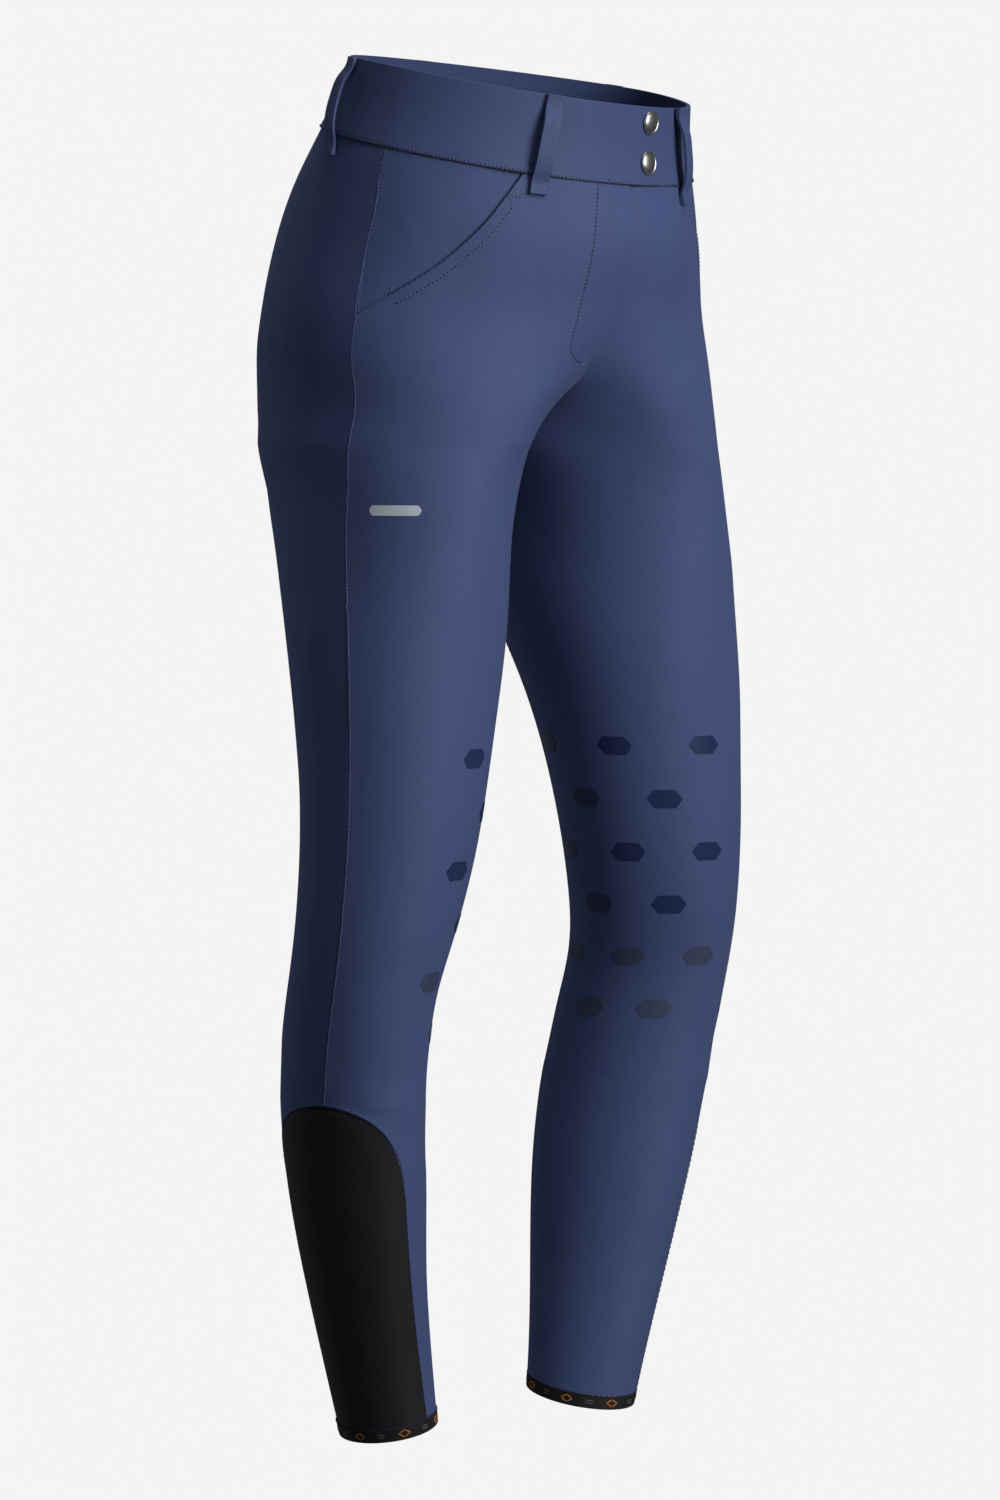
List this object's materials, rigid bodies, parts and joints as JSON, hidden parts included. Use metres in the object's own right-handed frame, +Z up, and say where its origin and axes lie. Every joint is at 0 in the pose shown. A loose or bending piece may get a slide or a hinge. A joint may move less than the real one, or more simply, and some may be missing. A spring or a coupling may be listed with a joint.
{
  "type": "riding breeches",
  "caption": "Close-fitting riding breeches in stretch jersey, filled out as worn and hollow, with a wide snap waistband, slant pockets, belt loops and arched calf panels.",
  "frame": {"origin": "middle of the waist opening, at half the height of the waistband", "axes": "+Z up along the body, -Y the way the wearer faces, +X the wearer's left"},
  "size_m": [0.388, 0.2755, 0.961],
  "materials": {
    "leg_cloth": "smooth dense warp knit, slate navy, faint sheen",
    "band_cloth": "same cloth doubled, slate navy",
    "stretch_cloth": "matte black stretch knit",
    "elastic": "black woven elastic with small motifs",
    "snap_metal": "polished gunmetal",
    "silicone_print": "thin clear dark silicone, glossy",
    "reflective_print": "pale grey transfer film",
    "thread": "polyester thread, tone on tone"
  },
  "bodies": {
    "root": {"waistband": "band_cloth", "right_front": "leg_cloth", "left_front": "leg_cloth", "right_back": "leg_cloth", "left_back": "leg_cloth", "right_pocket_facing": "leg_cloth", "left_pocket_facing": "leg_cloth", "right_calf_panel": "stretch_cloth", "left_calf_panel": "stretch_cloth", "right_hem_band": "elastic", "left_hem_band": "elastic", "right_front_loop": "band_cloth", "left_front_loop": "band_cloth", "right_side_loop": "band_cloth", "left_side_loop": "band_cloth", "back_loop": "band_cloth", "upper_snap": "snap_metal", "lower_snap": "snap_metal"}
  },
  "joints": []
}
